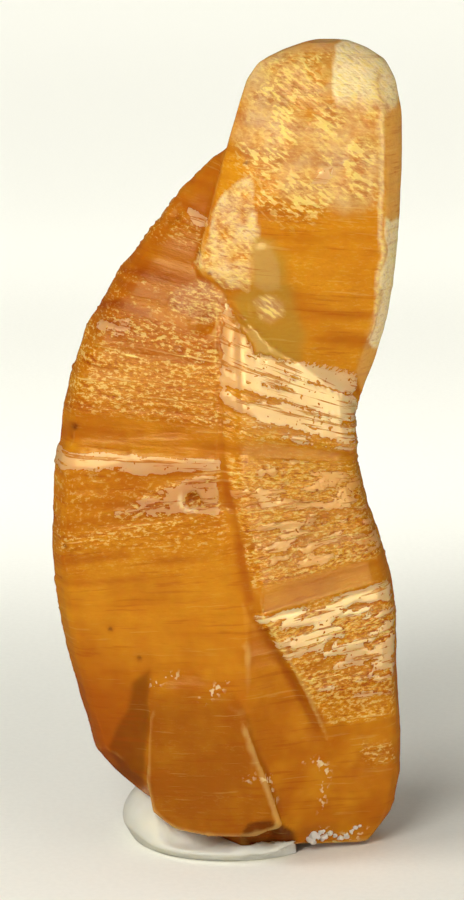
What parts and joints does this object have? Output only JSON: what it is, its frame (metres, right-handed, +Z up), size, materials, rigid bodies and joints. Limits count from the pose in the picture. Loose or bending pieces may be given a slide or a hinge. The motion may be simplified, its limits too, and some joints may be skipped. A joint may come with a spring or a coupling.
{
  "type": "sapphire crystal",
  "caption": "Bent, water-worn group of intergrown orange sapphire crystals with stepped growth faces, standing upright in a low pad of clear mounting putty",
  "frame": {"origin": "middle of the footprint's box, at the height of the table on which the putty rests", "axes": "+Z up along the crystals, +X to the right of the picture, -Y towards the viewer"},
  "size_m": [0.0142, 0.0108, 0.0327],
  "materials": {
    "sapphire": "gloss",
    "putty": "satin"
  },
  "bodies": {
    "root": {"sapphire_crystals": "sapphire", "clear_putty": "putty"}
  },
  "joints": []
}
